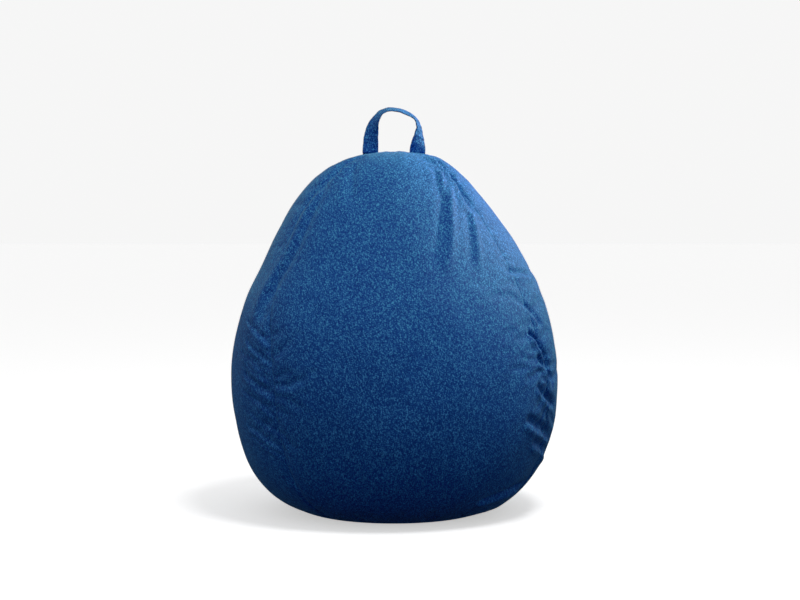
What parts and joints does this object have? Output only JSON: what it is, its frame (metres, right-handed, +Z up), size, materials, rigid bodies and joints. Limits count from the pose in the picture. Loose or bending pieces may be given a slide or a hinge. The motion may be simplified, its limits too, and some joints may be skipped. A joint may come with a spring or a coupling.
{
  "type": "bean bag chair",
  "caption": "Egg-shaped bean bag chair: a sewn fabric cover with a carry handle and a rear zip, over a zipped liner of loose bead filling.",
  "frame": {"origin": "middle of the flat underside of the base, on the floor", "axes": "+Z up, -Y the front of the bag, where the widest panel faces, +X to the right of someone looking at the front"},
  "size_m": [0.7995, 0.7993, 0.9943],
  "materials": {
    "cover_fabric": "woven melange upholstery cloth, matt",
    "strap_fabric": "the cover's cloth folded into a strap, matt",
    "sewing_thread": "polyester sewing thread, slight sheen",
    "cover_zip_tape": "woven zip tape, matt",
    "cover_zip_teeth": "nylon coil, satin",
    "zip_metal": "nickel-plated die casting",
    "liner_fabric": "thin plain-woven polyester, matt",
    "liner_zip_tape": "white zip tape and coil",
    "polystyrene_beads": "expanded polystyrene beads, matt"
  },
  "bodies": {
    "bag": {"front_panel": "cover_fabric", "left_side_panel": "cover_fabric", "right_side_panel": "cover_fabric", "back_left_panel": "cover_fabric", "back_right_panel": "cover_fabric", "top_cap_panel": "cover_fabric", "base_panel": "cover_fabric", "handle_end_left": "strap_fabric", "handle_end_right": "strap_fabric", "handle_stitching_left": "sewing_thread", "handle_stitching_right": "sewing_thread", "cover_zip_tape_left": "cover_zip_tape", "cover_zip_tape_right": "cover_zip_tape", "cover_zip_teeth_left": "cover_zip_teeth", "cover_zip_teeth_right": "cover_zip_teeth", "cover_zip_top_stop": "zip_metal", "cover_zip_bottom_stop": "zip_metal", "liner_front": "liner_fabric", "liner_back": "liner_fabric", "liner_zip_tape_front": "liner_zip_tape", "liner_zip_tape_back": "liner_zip_tape", "liner_zip_teeth_front": "liner_zip_tape", "liner_zip_teeth_back": "liner_zip_tape", "liner_zip_top_stop": "zip_metal", "liner_zip_bottom_stop": "zip_metal", "bead_fill": "polystyrene_beads"},
    "handle": {"handle_loop": "strap_fabric"},
    "cover_zip_slider_body": {"cover_zip_slider": "zip_metal"},
    "cover_zip_pull_body": {"cover_zip_pull": "zip_metal"},
    "liner_zip_slider_body": {"liner_zip_slider": "zip_metal"}
  },
  "joints": [
    {"name": "handle_fold", "type": "hinge", "parent": "bag", "child": "handle", "pos_m": [0, 0, 0.8878], "axis": [1, 0, 0], "range_deg": [-78, 78], "stiffness_Nm_per_rad": 0.002},
    {"name": "cover_zip_travel", "type": "hinge", "parent": "bag", "child": "cover_zip_slider_body", "pos_m": [0, -0.16, 0.325], "axis": [1, 0, 0], "range_deg": [-37.79, 0]},
    {"name": "cover_zip_pull_swing", "type": "hinge", "parent": "cover_zip_slider_body", "child": "cover_zip_pull_body", "pos_m": [0, 0.36155, 0.53463], "axis": [1, 0, 0], "range_deg": [0, 160]},
    {"name": "liner_zip_travel", "type": "hinge", "parent": "bag", "child": "liner_zip_slider_body", "pos_m": [-0.16, 0, 0.325], "axis": [0, 1, 0], "range_deg": [0, 37.79]}
  ]
}
